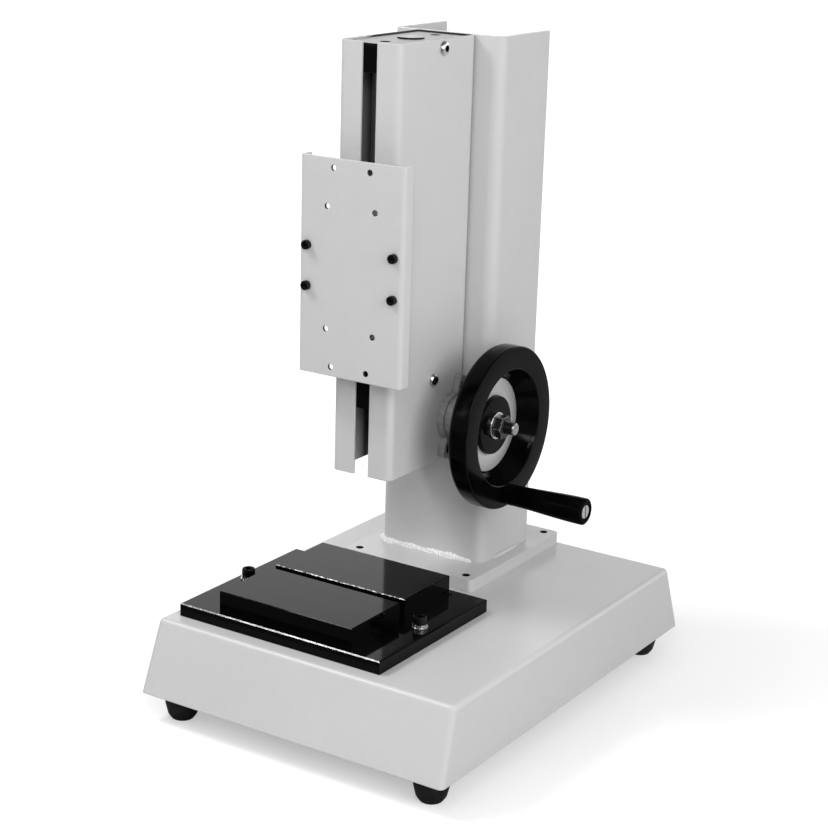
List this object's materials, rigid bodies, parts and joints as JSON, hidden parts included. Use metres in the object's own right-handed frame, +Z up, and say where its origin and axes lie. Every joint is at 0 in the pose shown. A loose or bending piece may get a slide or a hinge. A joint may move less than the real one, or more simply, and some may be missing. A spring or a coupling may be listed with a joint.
{
  "type": "force gauge test stand",
  "caption": "Hand-wheel test stand for a force gauge: folded base on rubber feet, channel column and a slotted housing whose lead screw raises a gauge plate above anvil blocks.",
  "frame": {"origin": "On the surface the stand rests on, under the middle of the base (the base is the widest piece both ways).", "axes": "+Z up along the column, -Y towards the user (the gauge plate and the bed face that way), +X towards the hand wheel."},
  "size_m": [0.264, 0.359, 0.496],
  "materials": {
    "light_grey_powder_coat": "satin",
    "black_enamel": "gloss",
    "black_anodised_aluminium": "satin",
    "cast_bearing_grey": "satin",
    "black_phenolic": "gloss",
    "foot_rubber": "matte",
    "black_oxide_steel": "satin",
    "bright_zinc_steel": "polished",
    "turned_steel": "turned",
    "grey_steel_plate": "matte",
    "satin_aluminium": "satin",
    "bearing_bronze": "machined"
  },
  "bodies": {
    "stand": {"anvil_block_screws": "black_oxide_steel", "base_shell": "light_grey_powder_coat", "base_stiffener": "turned_steel", "bearing_cover_disc": "grey_steel_plate", "bed_plate": "black_enamel", "bed_screws": "black_oxide_steel", "bed_spring_washers": "bright_zinc_steel", "bed_washers": "bright_zinc_steel", "block_mounting_screws": "black_oxide_steel", "cap_plate_screws": "black_oxide_steel", "column_bolts": "black_oxide_steel", "column_channel": "light_grey_powder_coat", "column_foot_plate": "light_grey_powder_coat", "column_weld_beads": "light_grey_powder_coat", "flange_bearing_bolts": "black_oxide_steel", "flange_bearing_housing": "cast_bearing_grey", "flange_bearing_insert": "turned_steel", "foot_nuts": "bright_zinc_steel", "foot_screws": "black_oxide_steel", "front_anvil_block": "black_enamel", "guide_rod_left": "turned_steel", "guide_rod_right": "turned_steel", "housing_channel": "light_grey_powder_coat", "housing_screws": "bright_zinc_steel", "lower_ball_bearings": "turned_steel", "lower_bearing_block": "black_anodised_aluminium", "rear_anvil_block": "black_enamel", "rubber_foot_front_left": "foot_rubber", "rubber_foot_front_right": "foot_rubber", "rubber_foot_rear_left": "foot_rubber", "rubber_foot_rear_right": "foot_rubber", "shaft_bush": "bearing_bronze", "top_ball_bearing": "turned_steel", "top_bearing_block": "black_anodised_aluminium", "top_cap_plate": "grey_steel_plate"},
    "lead_screw_train": {"lead_screw": "turned_steel", "screw_gear": "turned_steel", "screw_spacer": "turned_steel", "screw_lock_nut": "bright_zinc_steel"},
    "hand_wheel_train": {"drive_shaft": "turned_steel", "shaft_gear": "turned_steel", "shaft_collars": "turned_steel", "shaft_key": "turned_steel", "flange_bearing_collar": "turned_steel", "handwheel": "black_phenolic", "wheel_ring": "satin_aluminium", "wheel_washer": "bright_zinc_steel", "wheel_nut": "bright_zinc_steel", "handle_spindle": "turned_steel"},
    "handle": {"handle_grip": "black_phenolic"},
    "carriage": {"slider_block": "black_anodised_aluminium", "slider_bushes": "bearing_bronze", "lead_nut": "bearing_bronze", "lead_nut_screws": "black_oxide_steel", "gauge_bracket": "black_anodised_aluminium", "bracket_screws": "black_oxide_steel", "gauge_plate": "light_grey_powder_coat", "gauge_plate_screws": "black_oxide_steel"}
  },
  "joints": [
    {"name": "handwheel_turn", "type": "hinge", "parent": "stand", "child": "hand_wheel_train", "pos_m": [-0.03, 0.035, 0.209], "axis": [1, 0, 0], "range_deg": [-8640, 3600]},
    {"name": "lead_screw_turn", "type": "hinge", "parent": "stand", "child": "lead_screw_train", "pos_m": [-0.03, 0.0053, 0.209], "axis": [0, 0, 1], "range_deg": [-8640, 3600]},
    {"name": "carriage_slide", "type": "slide", "parent": "stand", "child": "carriage", "axis": [0, 0, 1], "range_m": [-0.04001, 0.09601]},
    {"name": "handle_spin", "type": "hinge", "parent": "hand_wheel_train", "child": "handle", "pos_m": [0.05, 0.035, 0.157], "axis": [1, 0, 0], "continuous": true}
  ],
  "couplings": [
    {"joint": "lead_screw_turn", "follows": "handwheel_turn", "ratio": 1},
    {"joint": "carriage_slide", "follows": "handwheel_turn", "m_per_rad": -0.00063662}
  ]
}
